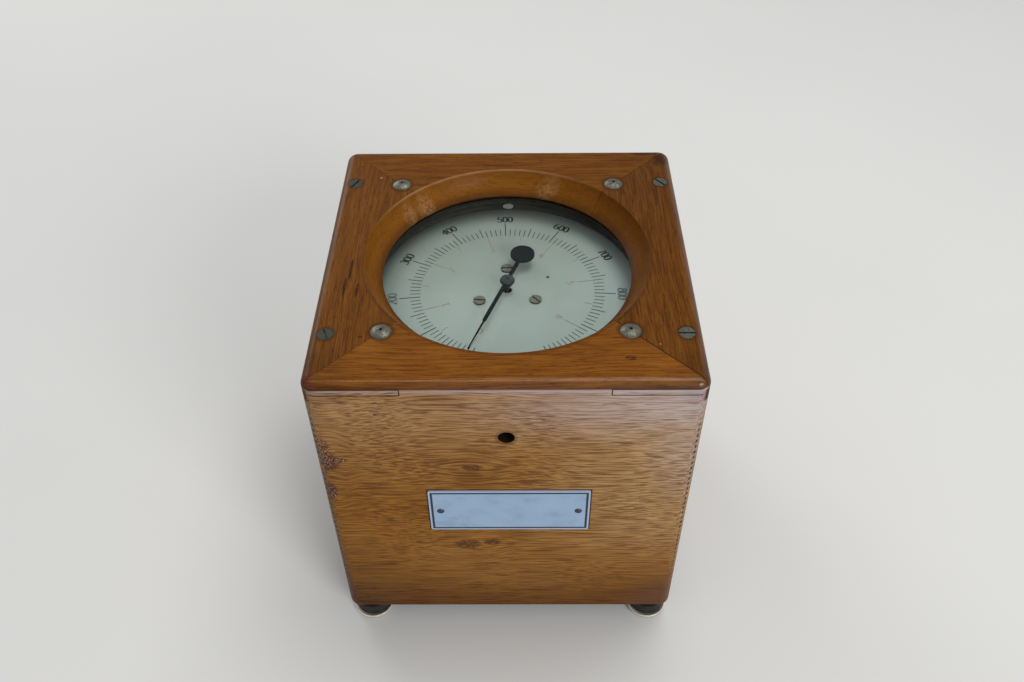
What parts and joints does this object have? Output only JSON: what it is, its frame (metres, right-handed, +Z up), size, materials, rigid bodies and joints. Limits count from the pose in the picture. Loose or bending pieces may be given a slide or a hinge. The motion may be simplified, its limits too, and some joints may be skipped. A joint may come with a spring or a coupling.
{
  "type": "wattmeter",
  "caption": "Cube-shaped oak instrument with a round glazed dial on top, a long black pointer, four corner studs, a blank plate and a small hole in front, and low cup feet.",
  "frame": {"origin": "centre of the footprint, on the surface that the feet stand on", "axes": "+Z up, -Y out of the front board with the nameplate, +X to the right as seen from the front"},
  "size_m": [0.18, 0.1834, 0.1976],
  "materials": {
    "case_oak": "satin varnish",
    "frame_oak": "satin varnish",
    "bottom_wood": "raw",
    "slip_wood": "satin varnish",
    "screw_steel": "dull, slotted heads",
    "nickel": "dull nickel plate",
    "window": "clear",
    "black_lacquer": "satin black",
    "ivory": "matt",
    "plate_silver": "brushed, dark blue border",
    "pin_blue": "dark",
    "foot_cream": "aged cream",
    "foot_black": "matt",
    "ebonite": "polished",
    "brass": "machined",
    "wire_cover": "waxed cotton",
    "dial_face": "matt grey-green white",
    "core_iron": "laminated, varnished",
    "coil_enamel": "varnished winding",
    "copper_strap": "bare copper winding",
    "magnet_red": "lacquered",
    "disc_aluminium": "turned",
    "spring_bronze": "drawn strip",
    "pointer_black": "matt black"
  },
  "bodies": {
    "case": {"front_wall": "case_oak", "back_wall": "case_oak", "left_wall": "case_oak", "right_wall": "case_oak", "bottom_board": "bottom_wood", "bottom_screws": "screw_steel", "frame_front_rail": "frame_oak", "frame_back_rail": "frame_oak", "frame_left_rail": "frame_oak", "frame_right_rail": "frame_oak", "frame_slips": "slip_wood", "frame_screws": "screw_steel", "pillar_bolts": "nickel", "window_glass": "window", "glass_ring": "black_lacquer", "glass_ring_screws": "screw_steel", "dial_shroud": "black_lacquer", "shroud_button": "ivory", "nameplate": "plate_silver", "nameplate_pins": "pin_blue", "foot_cups": "foot_cream", "foot_buffers": "foot_black", "foot_screws": "screw_steel", "terminal_plate": "ebonite", "terminal_sockets": "brass", "terminal_nuts": "brass", "terminal_screws": "nickel", "lead_wires": "wire_cover", "movement_plate": "black_lacquer", "movement_pillars": "brass", "movement_screws": "screw_steel", "dial_posts": "brass", "dial_plate": "dial_face", "dial_screws": "nickel", "upper_bridge": "brass", "lower_bridge": "brass", "bridge_screws": "screw_steel", "upper_bearing": "brass", "lower_bearing": "brass", "lower_bearing_nut": "brass", "voltage_core": "core_iron", "voltage_coil": "coil_enamel", "current_core": "core_iron", "current_coils": "copper_strap", "core_screws": "screw_steel", "core_bolt": "screw_steel", "brake_magnet": "magnet_red", "magnet_block": "brass", "magnet_bolts": "screw_steel", "stop_peg": "screw_steel"},
    "moving_system": {"spindle": "screw_steel", "induction_disc": "disc_aluminium", "disc_hub": "brass", "stop_arm": "screw_steel", "spring_collet": "brass", "pointer": "pointer_black", "pointer_hub": "pointer_black", "counterweight": "pointer_black"},
    "zero_adjuster": {"zero_lever": "nickel", "hairspring": "spring_bronze"}
  },
  "joints": [
    {"name": "pointer_turn", "type": "hinge", "parent": "case", "child": "moving_system", "pos_m": [0, 0, 0.176], "axis": [0, 0, 1], "range_deg": [-321, 3], "stiffness_Nm_per_rad": 0.0000175},
    {"name": "zero_lever_turn", "type": "hinge", "parent": "case", "child": "zero_adjuster", "pos_m": [0, 0, 0.16], "axis": [0, 0, 1], "range_deg": [-8, 8]}
  ]
}
